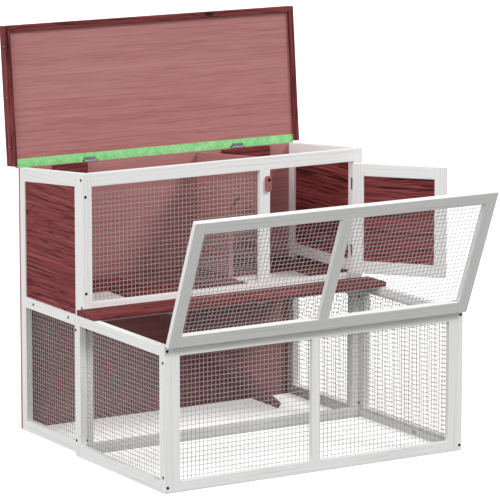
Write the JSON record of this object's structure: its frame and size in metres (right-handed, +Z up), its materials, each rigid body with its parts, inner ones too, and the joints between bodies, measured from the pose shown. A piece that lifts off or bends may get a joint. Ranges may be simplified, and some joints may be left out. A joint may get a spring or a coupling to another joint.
{
  "type": "rabbit cage",
  "caption": "Wooden rabbit cage: raised house with open felted lid, side door and ramp over a bay, and a wire-mesh run with an open top hatch in front.",
  "frame": {"origin": "middle of the underside of the bottom rail in the house front, at ground level", "axes": "+X to the right along the front, +Y from the run towards the back wall, +Z up"},
  "size_m": [1.0899, 1.1068, 1.1647],
  "materials": {
    "white_painted_wood": "matt whitewash paint",
    "dark_red_stained_wood": "matt stain over pine grain",
    "reddish_plywood": "matt stain",
    "green_roofing_felt": "mineral surface, matt",
    "galvanised_wire": "galvanised",
    "hinge_steel": "plated",
    "white_painted_steel": "painted over with the frames",
    "black_screw_steel": "black phosphate",
    "pale_stained_wood": "matt stain"
  },
  "bodies": {
    "cage": {"back_wall": "reddish_plywood", "door_hinge_fixed_leaves": "hinge_steel", "floor_bearers": "white_painted_wood", "floor_front_boards": "dark_red_stained_wood", "floor_rear_boards": "dark_red_stained_wood", "floor_sheet": "white_painted_wood", "hatch_hinge_fixed_leaves": "white_painted_steel", "hinge_blocks": "dark_red_stained_wood", "house_left_cleat": "white_painted_wood", "house_left_net": "galvanised_wire", "house_left_planks": "dark_red_stained_wood", "house_left_rails": "white_painted_wood", "house_left_stiles": "white_painted_wood", "house_right_cleat": "white_painted_wood", "house_right_net": "galvanised_wire", "house_right_planks": "dark_red_stained_wood", "house_right_rails": "white_painted_wood", "house_right_stiles": "white_painted_wood", "ledge_board": "dark_red_stained_wood", "lower_front_rails": "white_painted_wood", "lower_front_stiles": "white_painted_wood", "partition": "reddish_plywood", "ramp_board": "pale_stained_wood", "ramp_cleats": "pale_stained_wood", "roof_hinge_fixed_leaves": "hinge_steel", "run_front_mullion": "white_painted_wood", "run_front_net": "galvanised_wire", "run_front_rails": "white_painted_wood", "run_front_stiles": "white_painted_wood", "run_left_net": "galvanised_wire", "run_left_rails": "white_painted_wood", "run_left_stiles": "white_painted_wood", "run_right_net": "galvanised_wire", "run_right_rails": "white_painted_wood", "run_right_stiles": "white_painted_wood", "turn_button_screw": "black_screw_steel", "upper_front_mullion": "white_painted_wood", "upper_front_net": "galvanised_wire", "upper_front_rails": "white_painted_wood", "upper_front_stiles": "white_painted_wood"},
    "lid": {"lid_side_boards": "dark_red_stained_wood", "lid_front_board": "dark_red_stained_wood", "lid_panel": "reddish_plywood", "lid_felt": "green_roofing_felt", "roof_hinge_lid_leaves": "hinge_steel"},
    "hatch": {"hatch_stiles": "white_painted_wood", "hatch_rails": "white_painted_wood", "hatch_mullion": "white_painted_wood", "hatch_net": "galvanised_wire", "hatch_hinge_hatch_leaves": "white_painted_steel"},
    "door": {"door_stiles": "white_painted_wood", "door_rails": "white_painted_wood", "door_planks": "dark_red_stained_wood", "door_hinge_door_leaves": "hinge_steel"},
    "turn_button": {"turn_button": "pale_stained_wood"}
  },
  "joints": [
    {"name": "lid_hinge", "type": "hinge", "parent": "cage", "child": "lid", "pos_m": [0, 0.3762, 0.76255], "axis": [1, 0, 0], "range_deg": [0, 90.6]},
    {"name": "hatch_hinge", "type": "hinge", "parent": "cage", "child": "hatch", "pos_m": [0, -0.5001, 0.4023], "axis": [-1, 0, 0], "range_deg": [0, 112.5]},
    {"name": "door_hinge", "type": "hinge", "parent": "cage", "child": "door", "pos_m": [0.429, -0.0101, 0.5], "axis": [0, 0, 1], "range_deg": [-131, 49]},
    {"name": "turn_button_pivot", "type": "hinge", "parent": "cage", "child": "turn_button", "pos_m": [0.139, -0.012, 0.7305], "axis": [0, 1, 0], "continuous": true}
  ]
}
